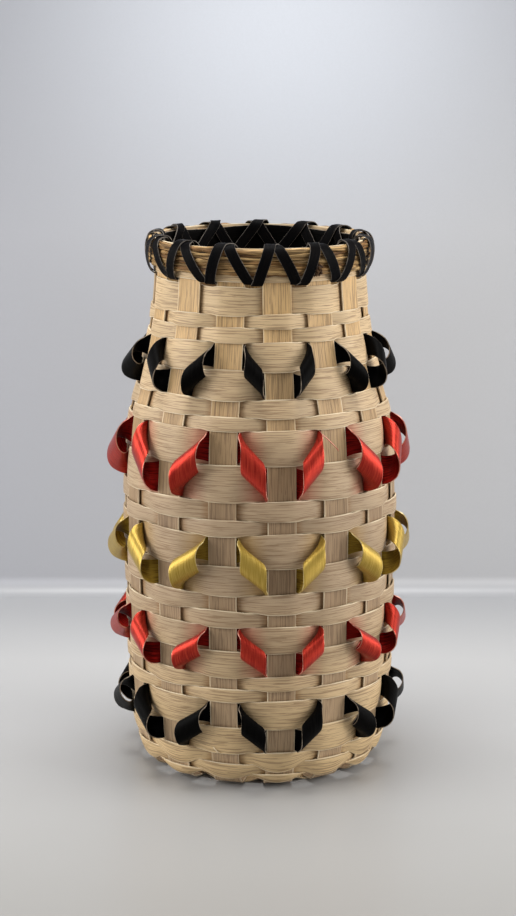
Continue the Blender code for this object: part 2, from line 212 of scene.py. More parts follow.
# Ash
ASH_FOOT = (0.08, 0.015)
ASH_NECK = (0.11, 0.19)
PATCH_LENGTH = 0.03
PATCH_WIDTH = 0.012
PATCH_SHADES = (0.35, 0.65, 0.86, 1.0)
FINE_GRAIN = (0.42, 0.7)
GRAIN_FADE = 0.06
ASH_ROUGHNESS = (0.3, 0.7, 0.48, 0.66)
ASH_SPECULAR = 0.35
ASH_BUMP = (0.45, 0.00014)
WEAVER_ASH = Wood(
    foot=(0.69, 0.49, 0.255),
    low=(0.455, 0.33, 0.205),
    high=(0.665, 0.478, 0.265),
    line=(0.2, 0.115, 0.055),
    grain=Grain(length=0.015, width=0.0004, start=0.525, amount=0.62),
)
UPRIGHT_ASH = Wood(
    foot=(0.5, 0.345, 0.2),
    low=(0.355, 0.236, 0.132),
    high=(0.69, 0.445, 0.196),
    line=(0.13, 0.075, 0.04),
    grain=Grain(length=0.015, width=0.00042, start=0.51, amount=0.5),
)
# Painted shade: a warm dark tint where a row tucks under the uprights
TUCK_SHADE = StainAndPaintedLight((0.26, 0.13, 0.045), 0.72, 0.94, 0.65)
# Beside the red and gold curls the tint is dye bleed, partly painted reflected colour from the
# curls
RED_BLEED_AND_REFLECTION = StainAndPaintedLight((0.5, 0.12, 0.075), 0.05, 0.62, 0.42)
GOLD_BLEED_AND_REFLECTION = StainAndPaintedLight((0.46, 0.27, 0.06), 0.05, 0.62, 0.36)
GRAIN_WAVER = 0.5
# Pale cut edges of the ash: partly wear, partly painted highlight
PALE_EDGE_AND_HIGHLIGHT = (0.8, 0.68, 0.47)
PALE_EDGE_AND_HIGHLIGHT_WIDTH = 0.0004
PALE_EDGE_AND_HIGHLIGHT_PATCHES = (0.35, 0.6, 0.15, 0.75)

# Dyed splint
CUT_WIDTH = 0.00012
DYE_STREAKS = (0.009, 0.00028)
DYE_RIPPLES = (0.0016, 0.004)
DYE_MIX = (0.32, 0.68)
DYE_DULL_MIX = (0.4, 0.55)
DYE_INSIDE = (0.4, 0.6)
DYE_GLOSS_RANGE = (0.3, 0.7)
DYE_GLOSS_CHANGE = (-0.08, 0.1)
DYE_ANISOTROPY = 0.55
DYE_BUMP = (0.35, 0.00012)
DULL_GLOSS = 0.02
WEAR_LENGTH = 0.003
WEAR_PATCHES = (0.3, 0.5, 0.3, 1.0)
BLACK_DYE = Dye(
    deep=(0.0012, 0.0011, 0.0011),
    bright=(0.004, 0.0036, 0.0032),
    inner=(0.001, 0.0009, 0.0009),
    edge=(0.26, 0.21, 0.16),
    satin=0.28,
    specular=0.02,
    roughness=0.46,
)
LASHING_DYE = Dye(
    deep=(0.0022, 0.0022, 0.0026),
    bright=(0.01, 0.0098, 0.0105),
    inner=(0.0045, 0.0036, 0.0034),
    edge=(0.15, 0.13, 0.11),
    satin=0.3,
    specular=0.1,
    roughness=0.46,
)
RED_DYE = Dye(
    deep=(0.26, 0.009, 0.006),
    bright=(0.47, 0.042, 0.021),
    inner=(0.07, 0.002, 0.0018),
    edge=(0.66, 0.3, 0.22),
    satin=0.74,
    specular=0.32,
    roughness=0.37,
)
GOLD_DYE = Dye(
    deep=(0.31, 0.195, 0.026),
    bright=(0.48, 0.33, 0.07),
    inner=(0.15, 0.08, 0.012),
    edge=(0.64, 0.5, 0.22),
    satin=0.6,
    specular=0.32,
    roughness=0.38,
)

# Sweetgrass
STEM_GRASS = Grass((0.56, 0.36, 0.15), (0.22, 0.105, 0.03), (0.03, 0.013, 0.006), 0.7)
CUT_GRASS = Grass((0.16, 0.08, 0.03), (0.06, 0.027, 0.01), (0.01, 0.005, 0.003), 0.8)
# Near-black core colour: painted shade in the crevices between the stems
CORE_SHADE_GRASS = Grass((0.03, 0.016, 0.008), (0.02, 0.01, 0.005), (0.008, 0.004, 0.002), 0.9)
GRASS_TONES = (0.045, 0.05)
GRASS_TONE_MIX = (0.4, 0.6)
GRASS_LINES = (0.03, 0.0004)
GRASS_LINE_MIX = (0.48, 0.6)
GRASS_WEAR = (0.016, 0.003)
GRASS_WEAR_MIX = (0.5, 0.64)
GRASS_ROUGHNESS = 0.6
GRASS_SPECULAR = 0.18
GRASS_BUMP = (0.7, 0.0003)

# Floor, backdrop and light
# Floor and backdrop colours paint light and shade: floor darker at the front and back and paler far
# out, backdrop greyer to the left and at the top, with a painted glow high up
FLOOR_FRONT = (0.27, 0.262, 0.247)
FLOOR_MIDDLE = (0.36, 0.358, 0.354)
FLOOR_BACK = (0.248, 0.25, 0.258)
FLOOR_OUTER = (0.76, 0.76, 0.76)
BACKDROP_LEFT = (0.35, 0.353, 0.375)
BACKDROP_RIGHT = (0.4, 0.4, 0.408)
BACKDROP_TOP_SHADE = (0.228, 0.232, 0.252)
BACKDROP_PAINTED_GLOW = (0.505, 0.525, 0.565)
FLOOR_FLECK = (0.26, 0.25, 0.24)
FLECK_SCALE = 900.0
FLECK_MIX = (0.3, 0.7, 0.0, 0.05)
FLOOR_ROUGHNESS = 0.38
FLOOR_BUMP = (0.1, 0.0001)
STAGE_SIZE = 3.0
SWEEP_START = 0.23
SWEEP_RADIUS = 0.01
SWEEP_STEPS = 24
SKY_COLOUR = (0.95, 0.97, 1.0)
SKY_STRENGTH = 0.42
TOP_BOX = (0.0, 0.05, 0.95)
TOP_BOX_SIZE = 0.55
TOP_BOX_POWER = 11.0
SIDE_BOX_DISTANCE = 0.85
SIDE_BOX_HEIGHT = 0.38
SIDE_BOX_TURN = math.radians(79.0)
SIDE_BOX_SIZE = 0.6
SIDE_BOX_POWER = 7.4
FLOOR_NEAR = (-0.16, 0.02)
FLOOR_FAR = (0.12, 0.235)
FLOOR_ROUND = (0.45, 1.0)
BACKDROP_FADE = (0.0025, 0.0075)
BACKDROP_SIDES = (-0.14, 0.06)
BACKDROP_RISE = (0.2, 0.36)
PAINTED_GLOW_CENTRE = (0.012, 0.245, 0.305)
PAINTED_GLOW_RADIUS = 0.19


def frame_corners(node):
    """The distinct vertices of a frame node, as rows of x, y and z."""
    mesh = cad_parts[node].data
    found = np.empty(len(mesh.vertices) * 3)
    mesh.vertices.foreach_get("co", found)
    return np.unique(np.round(found.reshape(-1, 3), MERGE_PLACES), axis=0)


def nodes_named(part):
    return sorted(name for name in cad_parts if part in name)


def outward(angle):
    return np.stack((np.sin(angle), -np.cos(angle), np.zeros_like(angle)), axis=-1)


def sideways(angle):
    return np.stack((np.cos(angle), np.sin(angle), np.zeros_like(angle)), axis=-1)


def upward(height):
    return np.stack((np.zeros_like(height), np.zeros_like(height), height), axis=-1)


def wrapped(angle):
    """An angle between minus and plus half a turn."""
    return (angle + math.pi) % math.tau - math.pi


def upright_directions():
    """Directions of the uprights in order round the wall, from the splints' top ends."""
    found = []
    for node in SPLINTS:
        corners = frame_corners(node)
        tops = corners[corners[:, 2] > corners[:, 2].max() - TOP_ZONE]
        angles = np.arctan2(tops[:, 0], -tops[:, 1])
        near = np.abs(wrapped(angles - angles[0])) < math.pi / 2
        for leg in (tops[near], tops[~near]):
            x, y, _ = leg.mean(axis=0)
            found.append(math.atan2(x, -y))
    half_pitch = math.pi / len(found)
    return np.sort([(angle + half_pitch) % math.tau - half_pitch for angle in found])


def smoothed_profile():
    """Heights and radii of the wall, from the stations of the splint at the front."""
    corners = frame_corners(SPLINTS[0])
    radial = corners @ outward(DIRECTIONS[0])
    leg = (radial > WALL_RADIUS_LEAST) & (corners[:, 2] > HEEL_TOP)
    heights = np.unique(corners[leg, 2])
    outer = [radial[leg & (corners[:, 2] == height)].max() for height in heights]
    radii = np.array(outer) - UPRIGHT_THICKNESS / 2
    low, high = heights[0] - PROFILE_MARGIN, heights[-1] + PROFILE_MARGIN
    table = np.arange(low, high, PROFILE_STEP)
    first_slope = (radii[1] - radii[0]) / (heights[1] - heights[0])
    last_slope = (radii[-1] - radii[-2]) / (heights[-1] - heights[-2])
    straight = np.interp(table, heights, radii)
    straight += np.minimum(table - heights[0], 0) * first_slope
    straight += np.maximum(table - heights[-1], 0) * last_slope
    reach = np.arange(-PROFILE_MARGIN, PROFILE_MARGIN, PROFILE_STEP)
    bell = np.exp(-((reach / PROFILE_SOFTNESS) ** 2) / 2)
    soft = np.convolve(straight, bell / bell.sum(), mode="same")
    inside = (table > low + PROFILE_MARGIN / 2) & (table < high - PROFILE_MARGIN / 2)
    return table[inside], soft[inside]


SPLINTS = nodes_named("upright_splint_")
DIRECTIONS = upright_directions()
UPRIGHTS = len(DIRECTIONS)
PROFILE = smoothed_profile()


def wall_radius(height):
    return np.interp(height, *PROFILE) + WALL_LIFT


def wall_points(angle, height, out):
    """Wall space to plain space."""
    radius = wall_radius(height) + out
    return outward(angle) * radius[..., None] + upward(height)


def direction_at(pitch):
    """Direction at a number of pitches round from the front upright."""
    even = math.tau / UPRIGHTS
    turns = np.arange(UPRIGHTS + 1)
    drift = np.append(DIRECTIONS, DIRECTIONS[0] + math.tau) - even * turns
    return even * pitch + np.interp(np.mod(pitch, UPRIGHTS), turns, drift)


def round_the_wall(steps, start=0):
    """Pitches once round the wall, from an upright at the back."""
    return UPRIGHTS // 2 + start + np.arange(UPRIGHTS * steps) / steps


def rim_rise(angle):
    """How far the rim stands above its mean height: it dips at the front."""
    return -RIM_DIP * np.cos(angle)


def wall_rows():
    """Node, lower and upper height of each woven row, from the floor upwards."""
    nodes = [name for name in nodes_named("_weaver_") if not name.startswith("base")]
    nodes.sort(key=lambda name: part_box(name)[1].z)
    rows = []
    for node in nodes:
        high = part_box(node)[1].z
        low = rows[-1][2] + FIT if rows else high - HEEL_WIDTH
        rows.append((node, low, high))
    node, low, high = rows[-1]
    rows[-1] = (node, low, high - RIM_DIP)
    return rows


ROWS = wall_rows()

# Levels of the weave measured outwards from the middle of an upright
OUTSIDE = UPRIGHT_THICKNESS / 2 + FIT + WEAVER_THICKNESS / 2
CURL_LEVEL = -(UPRIGHT_THICKNESS / 2 + FIT + CURL_THICKNESS / 2)
BEHIND_CURL = CURL_LEVEL - CURL_THICKNESS / 2 - FIT - WEAVER_THICKNESS / 2

# Levels of the rim, up and outwards
HOOP_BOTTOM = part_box("outer_rim_hoop")[0].z + RIM_DIP
HOOP_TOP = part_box("outer_rim_hoop")[1].z - RIM_DIP
GRASS_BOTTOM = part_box("sweetgrass_bundle")[0].z + RIM_DIP
GRASS_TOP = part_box("sweetgrass_bundle")[1].z - RIM_DIP
HOOP_FACE = UPRIGHT_THICKNESS / 2 + FIT + HOOP_THICKNESS
GRASS_BACK = HOOP_FACE + FIT

# Levels and radii of the base
BASE_LEVEL = WEAVER_THICKNESS + FIT + UPRIGHT_THICKNESS / 2
BASE_RISE_START = BASE_FLAT_RADIUS - HEEL_TURN - BASE_WEAVER_WIDTH - FIT


def unit(vectors):
    return vectors / np.linalg.norm(vectors, axis=-1, keepdims=True)


def steps_along(path, closed):
    """Distance along a path of points; a closed path's last value is its whole length."""
    ends = np.vstack((path, path[:1])) if closed else path
    return np.concatenate(([0.0], np.cumsum(np.linalg.norm(np.diff(ends, axis=0), axis=1))))


def directions_along(path, closed):
    """Unit direction of a path at each of its points."""
    if closed:
        return unit(np.roll(path, -1, axis=0) - np.roll(path, 1, axis=0))
    return unit(np.gradient(path, axis=0))


def softened(path, width, closed):
    """A path with its corners rounded by a short running mean, twice."""
    kernel = np.ones(2 * width + 1) / (2 * width + 1)
    for _ in range(2):
        mode = "wrap" if closed else "edge"
        padded = np.pad(path, ((width, width), (0, 0)), mode=mode)
        path = np.stack([np.convolve(column, kernel, mode="valid") for column in padded.T], axis=-1)
    return path


def ring_faces(rings, sides, closed):
    """Corner numbers of the quads between rings, and of the two end caps if open."""
    spans = rings if closed else rings - 1
    ring, side = np.meshgrid(np.arange(spans), np.arange(sides), indexing="ij")
    after, beside = (ring + 1) % rings, (side + 1) % sides
    here, there = ring * sides, after * sides
    quads = np.stack((here + side, here + beside, there + beside, there + side), axis=-1)
    quads = quads.reshape(-1, 4)
    caps = [] if closed else [np.arange(sides)[::-1], np.arange(sides) + (rings - 1) * sides]
    return quads, caps


def body_volume(points, quads):
    """Volume inside the quads, negative where they face inwards."""
    a, b, c, d = (points[quads[:, corner]] for corner in range(4))
    halves = np.einsum("ij,ij->i", a, np.cross(b, c)) + np.einsum("ij,ij->i", a, np.cross(c, d))
    return halves.sum()


def skin(name, rings, along, across, closed, material, **values_at_points):
    """A smooth closed mesh through rings of points, with strip coordinates in metres."""
    count, sides, _ = rings.shape
    points = rings.reshape(-1, 3)
    quads, caps = ring_faces(count, sides, closed)
    if body_volume(points, quads) < 0:
        quads = quads[:, ::-1]
        caps = [cap[::-1] for cap in caps]
    mesh = bpy.data.meshes.new(name)
    mesh.from_pydata(points.tolist(), [], quads.tolist() + [cap.tolist() for cap in caps])
    shift = len(bpy.data.meshes) * STRIP_SHIFT
    ring_of, side_of = quads // sides, quads % sides
    u = along[ring_of]
    seam = closed & (ring_of == 0) & ((ring_of.max(axis=1) == count - 1)[:, None])
    u = np.where(seam, along[-1], u) + shift
    v = across[side_of]
    flat = np.stack((u, v), axis=-1).reshape(-1)
    cap_values = [np.stack((np.full(sides, shift), across[cap % sides]), axis=-1) for cap in caps]
    layer = mesh.uv_layers.new(name=UV)
    values = np.concatenate([flat] + [cap.reshape(-1) for cap in cap_values])
    layer.data.foreach_set("uv", values)
    for label, given in values_at_points.items():
        mesh.attributes.new(label, "FLOAT", "POINT").data.foreach_set("value", given)
    mesh.shade_smooth()
    mesh.materials.append(material)
    made = bpy.data.objects.new(name, mesh)
    bpy.context.scene.collection.objects.link(made)
    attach(made, "root")
    return made


def stand_for(node):
    """Hides the frame node that a piece stands in for."""
    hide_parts(node)


def mark_cut_edges(mesh):
    """Keeps the four long edges of a strip crisp."""
    sides = len(SHARES) * 2
    cut = (0, len(SHARES) - 1, len(SHARES), sides - 1)
    ends = np.empty(len(mesh.edges) * 2, dtype=np.int64)
    mesh.edges.foreach_get("vertices", ends)
    first, second = ends.reshape(-1, 2).T % sides
    sharp = (first == second) & np.isin(first, cut)
    mesh.attributes.new("sharp_edge", "BOOLEAN", "EDGE").data.foreach_set("value", sharp)


def strip(name, front, back, closed, material, tuck=None):
    """A thin strip between its front and back grids of points."""
    rings = np.concatenate((front, back[:, ::-1]), axis=1)
    count, sides, _ = rings.shape
    middle = (front[:, len(SHARES) // 2] + back[:, len(SHARES) // 2]) / 2
    width = np.linalg.norm(front[:, -1] - front[:, 0], axis=-1).mean()
    shares = np.concatenate((SHARES, SHARES[::-1]))
    at_points = {EDGE: np.tile(np.minimum(shares, 1.0 - shares) * width, count)}
    at_points[SIDE] = np.tile(np.repeat((1.0, 0.0), len(SHARES)), count)
    if tuck is not None:
        at_points[TUCK] = np.repeat(tuck, sides)
    across = (shares - 0.5) * width
    made = skin(name, rings, steps_along(middle, closed), across, closed, material, **at_points)
    mark_cut_edges(made.data)
    return made


def ribbon(name, path, across, half_width, thickness, closed, material, camber=0.0):
    """A strip along a path: across is its unit sideways direction at each point."""
    face = unit(np.cross(directions_along(path, closed), across))[:, None]
    aside = (2 * SHARES - 1)[:, None]
    half_width, camber = (np.reshape(size, (-1, 1, 1)) for size in (half_width, camber))
    middle = path[:, None] + across[:, None] * half_width * aside - face * camber * aside**2
    half = face * (thickness / 2 * ROUNDING)[:, None]
    return strip(name, middle + half, middle - half, closed, material)


def wander(seed, size, waves, pitch):
    """A slow seeded wave round the wall that closes on itself."""
    chance = np.random.default_rng(seed)
    total = np.zeros_like(pitch)
    for wave in range(1, waves + 1):
        phase = chance.uniform(0, math.tau)
        total += chance.uniform(*WAVE_SIZES) * np.sin(wave * math.tau * pitch / UPRIGHTS + phase)
    return size * total


def weave(pitch, row, radius, held):
    """Plus one where a row lies over an upright, minus one where under, smooth between.

    The second value is the share of the way from the upright to the middle of the gap.
    """
    nearest = np.round(pitch)
    toward = np.where(pitch >= nearest, 1.0, -1.0)
    here = direction_at(nearest)
    distance = np.abs(direction_at(pitch) - here) * radius
    half_pitch = np.abs(direction_at(nearest + toward) - here) * radius / 2
    held = np.minimum(held, half_pitch / 2)
    share = np.clip((distance - held) / (half_pitch - held), 0.0, 1.0)
    side = np.where((row + np.mod(nearest, UPRIGHTS)) % 2 == 0, 1.0, -1.0)
    return side * np.cos(math.pi / 2 * share), np.minimum(distance / half_pitch, 1.0)


def row_edge(row, pitch):
    """Height of the boundary under a row, round the wall."""
    if row == len(ROWS):
        return ROWS[-1][2] + FIT / 2 + rim_rise(direction_at(pitch))
    size = 0.0 if row == 0 else WANDER
    return ROWS[row][1] - FIT / 2 + wander(SEED + row, size, WANDER_WAVES, pitch)


def petal(row, over, reach):
    """How far a foot row's lower edge hangs below its band, in an arc under each float."""
    if row >= FOOT_ROWS:
        return np.zeros_like(over)
    arch = np.cos(math.pi / 2 * reach) * (over > 0)
    return PETAL_DROPS[row] * arch - PETAL_LIFTS[row]


def wall_strip(name, pitch, height, out, thickness, material, tuck=None):
    """A closed strip round the wall, between its heights and out from the uprights."""
    angle = np.broadcast_to(direction_at(pitch)[:, None], height.shape)
    half = thickness / 2 * ROUNDING
    front = wall_points(angle, height, out + half)
    back = wall_points(angle, height, out - half)
    return strip(name, front, back, True, material, tuck)


def weaver(row, has_curls, material):
    """One woven row: bowed over its floats and narrowed where it dives behind."""
    node = ROWS[row][0]
    behind_upright = (row + UPRIGHTS // 2 + 1) % 2
    pitch = round_the_wall(STEPS_PER_PITCH, behind_upright)
    bottom, top = row_edge(row, pitch) + ROW_GAP / 2, row_edge(row + 1, pitch) - ROW_GAP / 2
    radius = wall_radius((bottom + top) / 2)
    over, reach = weave(pitch, row, radius, UPRIGHT_WIDTH / 2 * HELD_SHARE)
    rise, dive = np.maximum(over, 0.0), np.maximum(-over, 0.0)
    behind = BEHIND_CURL if has_curls else -OUTSIDE
    out = OUTSIDE * rise + behind * dive + FLOAT_BOW * rise * np.cos(math.pi / 2 * reach)
    overlap = OVERLAP * smooth_step((np.abs(over) - OVERLAP_START) / (1.0 - OVERLAP_START))
    bottom = np.maximum(bottom - overlap - petal(row, over, reach), GROUND_CLEAR)
    top = top + overlap
    height = bottom[:, None] + (top - bottom)[:, None] * SHARES
    level = out[:, None] + CUP * (1 - (2 * SHARES - 1) ** 2)
    if row < FOOT_ROWS:
        level = level - PETAL_TURNS[row] * rise[:, None] * (1 - SHARES) ** 3
    tuck = 0.5 - 0.5 * over
    made = wall_strip(f"{node}_woven", pitch, height, level, WEAVER_THICKNESS, material, tuck)
    stand_for(node)


def smooth_step(share):
    share = np.clip(share, 0.0, 1.0)
    return share * share * (3.0 - 2.0 * share)


def curl_turn(index, start, end, strip_width, chance):
    """Lower and upper edge points of a strip's full turn in the gap after an upright."""
    climb = end - start
    sign = math.copysign(1.0, climb)
    sway, swing, reach = chance.uniform(1.0 - CURL_VARIETY, 1.0 + CURL_VARIETY, 3)
    turn = math.tau * np.arange(1, CURL_STEPS) / CURL_STEPS
    along = (turn + CURL_SWAY * sway * np.sin(turn)) / math.tau
    along -= sign * CURL_SAG * np.sin(turn / 2) ** 2
    height = start + climb * turn / math.tau - climb * CURL_SWING * swing * np.sin(turn)
    out = CURL_LEVEL + CURL_REACH * reach * np.abs(np.sin(turn / 2)) ** CURL_ROUNDNESS
    lean = smooth_step(np.minimum(turn, math.tau - turn) / CURL_LEAN_TURN)
    face = outward(direction_at(index + 0.5))
    edges = []
    for side in (-1.0, 1.0):
        level = height + side * (1.0 - CURL_SQUEEZE * lean) * strip_width / 2
        left, right = gap_sides(index, level)
        share = (along + side * sign * lean * CURL_SLANT / 2)[:, None]
        raised = (out - side * CURL_TILT * lean)[:, None]
        edges.append(left + (right - left) * share + face * raised)
    return edges


def gap_sides(index, height):
    """The two sides of the gap after an upright, at the middle level of the uprights."""
    half = UPRIGHT_WIDTH / 2 / wall_radius(height)
    left = wall_points(direction_at(index) + half, height, 0.0)
    right = wall_points(direction_at(index + 1) - half, height, 0.0)
    return left, right


def tucked_strip(index, middle, strip_width):
    """Lower and upper edge points of a strip where it lies flat behind an upright."""
    across = np.linspace(-1.0, 1.0, FLAT_STEPS) * UPRIGHT_WIDTH / 2
    edges = []
    for side in (-1.0, 1.0):
        height = np.full(FLAT_STEPS, middle + side * strip_width / 2)
        angle = direction_at(index) + across / wall_radius(height)
        edges.append(wall_points(angle, height, CURL_LEVEL))
    return edges


def curl_band(node, dye_material, slot):
    """One overlay strip that zigzags between two rows and curls in every gap."""
    group = node.removesuffix("_curls")
    names = [row[0] for row in ROWS]
    upper, lower = names.index(f"{group}_weaver_1"), names.index(f"{group}_weaver_2")
    middles = [(ROWS[row][1] + ROWS[row][2]) / 2 for row in (upper, lower)]
    strip_width = min(ROWS[row][2] - ROWS[row][1] for row in (upper, lower)) - CURL_INSET
    pieces = []
    chance = np.random.default_rng(SEED + upper)
    for index in range(UPRIGHTS):
        in_upper = (upper + index) % 2 == 1
        here, there = middles if in_upper else reversed(middles)
        pieces.append(tucked_strip(index, here, strip_width))
        pieces.append(curl_turn(index, here, there, strip_width, chance))
    low, high = np.concatenate(pieces, axis=1)
    path = (low + high) / 2
    half_width = np.linalg.norm(high - low, axis=1) / 2
    across = unit(high - low)
    name = f"{group}_curled_strip"
    made = ribbon(name, path, across, half_width, CURL_THICKNESS, True, dye_material)
    stand_for(node)


def base_height(radius):
    """Height of the middle of a splint in the base, rising towards the crossing."""
    share = np.clip((BASE_RISE_START - radius) / (BASE_RISE_START - CROSSING_START), 0.0, 1.0)
    return BASE_LEVEL + share * DOME_RISE


def base_width(radius):
    """Width of a splint in the base, drawn in towards the crossing."""
    share = (BASE_FLAT_RADIUS - radius) / (BASE_FLAT_RADIUS - CROSSING_RADIUS)
    return UPRIGHT_WIDTH + np.clip(share, 0.0, 1.0) * (CROSSING_WIDTH - UPRIGHT_WIDTH)


def splint_leg(index, crossing_height):
    """Points, sideways directions, half widths and camber of a splint down to the crossing."""
    angle = DIRECTIONS[index]
    top = HOOP_TOP - FIT + rim_rise(angle)
    heights = np.arange(top, HEEL_TURN, -PATH_STEP)
    wall = np.stack((wall_radius(heights), heights), axis=-1)
    turn_radius = wall_radius(HEEL_TURN)
    ground = GROUND_CLEAR + UPRIGHT_THICKNESS / 2
    bend = (turn_radius - HEEL_TURN / 3, (HEEL_TURN + ground) / 2)
    heel = np.array((bend, (turn_radius - HEEL_TURN, ground)))
    radii = np.arange(BASE_FLAT_RADIUS, CROSSING_START, -PATH_STEP)
    floor = np.stack((radii, base_height(radii)), axis=-1)
    inner = np.arange(CROSSING_START, 0.0, -PATH_STEP)
    share = np.clip((CROSSING_START - inner) / (CROSSING_START - CROSSING_RADIUS), 0.0, 1.0)
    middle = base_height(inner) + share * (crossing_height - base_height(inner))
    crossing = np.stack((inner, middle), axis=-1)
    track = np.concatenate((wall, heel, floor, crossing))
    count = len(track)
    points = outward(angle) * track[:, :1] + upward(track[:, 1])
    half_width = np.where(np.arange(count) < len(wall), UPRIGHT_WIDTH, base_width(track[:, 0])) / 2
    sagitta = half_width**2 / (2 * wall_radius(track[:, 1]))
    camber = sagitta * smooth_step(track[:, 1] / UPRIGHT_WIDTH)
    return points, sideways(np.full(count, angle)), half_width, camber


def upright_splint(number, material):
    """One long splint: down the wall, across the base and up the far side."""
    crossing_height = CROSSING_LOW + number * CROSSING_STEP
    near = splint_leg(number, crossing_height)
    far = splint_leg(number + UPRIGHTS // 2, crossing_height)
    path = softened(np.concatenate((near[0], far[0][::-1])), PATH_SOFTNESS, False)
    across = unit(softened(np.concatenate((near[1], -far[1][::-1])), PATH_SOFTNESS, False))
    half_width = np.concatenate((near[2], far[2][::-1]))
    camber = np.concatenate((near[3], far[3][::-1]))
    node = SPLINTS[number]
    name = f"{node}_shaved"
    made = ribbon(name, path, -across, half_width, UPRIGHT_THICKNESS, False, material, camber)
    stand_for(node)


def base_weaver(number, material):
    """A flat ring of the base, under one splint and over the next."""
    outer = BASE_FLAT_RADIUS - HEEL_TURN - (number - 1) * (BASE_WEAVER_WIDTH + FIT)
    inner = outer - BASE_WEAVER_WIDTH
    pitch = round_the_wall(STEPS_PER_PITCH)
    radius = inner + (outer - inner) * SHARES
    angle = np.broadcast_to(direction_at(pitch)[:, None], (len(pitch), len(SHARES)))
    middle_radius = (inner + outer) / 2
    over, _ = weave(pitch, number, middle_radius, base_width(middle_radius) / 2)
    middle = base_height(radius)[None, :] - OUTSIDE * over[:, None]
    half = WEAVER_THICKNESS / 2 * ROUNDING[None, :]
    places = outward(angle) * radius[None, :, None]
    low, high = np.maximum(middle - half, 0.0), np.maximum(middle, WEAVER_THICKNESS / 2) + half
    node = f"base_weaver_{number}"
    made = strip(f"{node}_woven", places + upward(low), places + upward(high), True, material)
    stand_for(node)


def rim_hoop(node, side, drop, material):
    """A hoop along the top of the wall, outside or inside the uprights."""
    out = side * (UPRIGHT_THICKNESS / 2 + FIT + HOOP_THICKNESS / 2)
    pitch = round_the_wall(STEPS_PER_PITCH)
    waves = wander(SEED, INNER_HOOP_WAVES, WANDER_WAVES, pitch)
    top = HOOP_TOP - drop * np.maximum(1.0 + waves, 0.0)
    height = HOOP_BOTTOM + (top - HOOP_BOTTOM)[:, None] * SHARES
    height = height + rim_rise(direction_at(pitch))[:, None]
    made = wall_strip(f"{node}_bent", pitch, height, out, HOOP_THICKNESS, material)
    stand_for(node)


def roll_point(turn, clear):
    """Out and up round the roll's outer side, from its foot at -90 degrees to its top."""
    swell = GRASS_DEPTH - GRASS_EDGE_DEPTH
    half_height = (GRASS_TOP - GRASS_BOTTOM) / 2
    out = GRASS_BACK + GRASS_EDGE_DEPTH + (swell + clear) * np.cos(turn)
    return out, GRASS_TOP - half_height + (half_height + clear) * np.sin(turn)


def strand(name, middle, across, radius, share, sides, closed, material):
    """A round strand along a path, its radius times a share at each point."""
    around = math.tau * np.arange(sides) / sides
    first, second = (direction[:, None] for direction in across)
    circle = first * np.cos(around)[:, None] + second * np.sin(around)[:, None]
    rings = middle[:, None] + circle * (radius * share)[:, None, None]
    return skin(name, rings, steps_along(middle, closed), around * radius, closed, material)


def grass_stem(number, turn, inset, radius, material):
    """One wandering, crinkled sweetgrass stem laid round the rim."""
    pitch = round_the_wall(STEM_STEPS)
    seed = SEED * STEM_COUNT + number
    out, height = roll_point(np.full_like(pitch, turn), -inset)
    out = out + wander(seed, STEM_WANDER / 3, STEM_WAVES, pitch)
    height = height + wander(seed + STEM_COUNT, STEM_WANDER, STEM_WAVES, pitch)
    height = np.clip(height, GRASS_BOTTOM + radius, GRASS_TOP - radius)
    crinkle = 1.0 + wander(seed + 2 * STEM_COUNT, STEM_CRINKLE, 3 * STEM_WAVES, pitch)
    height = height + rim_rise(direction_at(pitch))
    angle = direction_at(pitch)
    middle = wall_points(angle, height, out)
    across = (outward(angle), upward(np.ones_like(pitch)))
    name = f"sweetgrass_stem_{number + 1}"
    made = strand(name, middle, across, radius, crinkle, STEM_SIDES, True, material)


def sweetgrass_roll(material, core_material):
    """The roll of stems over a packed core, its near-black colour painted shade between the stems.
    """
    turn = np.linspace(-math.pi / 2, math.pi / 2, CORE_POINTS)
    out, height = roll_point(turn, -CORE_INSET)
    out = np.concatenate((out, [GRASS_BACK, GRASS_BACK]))
    height = np.concatenate((height, [GRASS_TOP - CORE_INSET, GRASS_BOTTOM + CORE_INSET]))
    pitch = round_the_wall(STEM_STEPS)
    angle = np.broadcast_to(direction_at(pitch)[:, None], (len(pitch), len(out)))
    level = np.broadcast_to(height, angle.shape) + rim_rise(angle)
    rings = wall_points(angle, level, np.broadcast_to(out, angle.shape))
    along = steps_along(rings[:, 0], True)
    across = np.arange(len(out)) * STEM_RADIUS
    core = skin("sweetgrass_core", rings, along, across, True, core_material)
    stand_for("sweetgrass_bundle")
    chance = np.random.default_rng(SEED)
    for number in range(STEM_COUNT):
        share = (number + 0.5) / STEM_COUNT
        turn = math.pi * (share - 0.5)
        radius = STEM_RADIUS * chance.uniform(*STEM_SIZES)
        grass_stem(number, turn, radius * chance.uniform(*STEM_INSETS), radius, material)


def loose_fibre(name, start, end, radius, material, slot):
    """A thin fibre between two places in wall space, bowed outwards and thinning to its end."""
    share = np.linspace(0.0, 1.0, FIBRE_STEPS)
    pitch, height, out = np.outer(start, 1.0 - share) + np.outer(end, share)
    middle = wall_points(direction_at(pitch), height, out + FIBRE_BOW * np.sin(math.pi * share))
    forward = directions_along(middle, False)
    flat = unit(np.cross(forward, upward(np.ones_like(share))))
    across = (flat, np.cross(forward, flat))
    thinned = 1.0 - FIBRE_TAPER * share
    made = strand(name, middle, across, radius, thinned, FIBRE_SIDES, False, material)


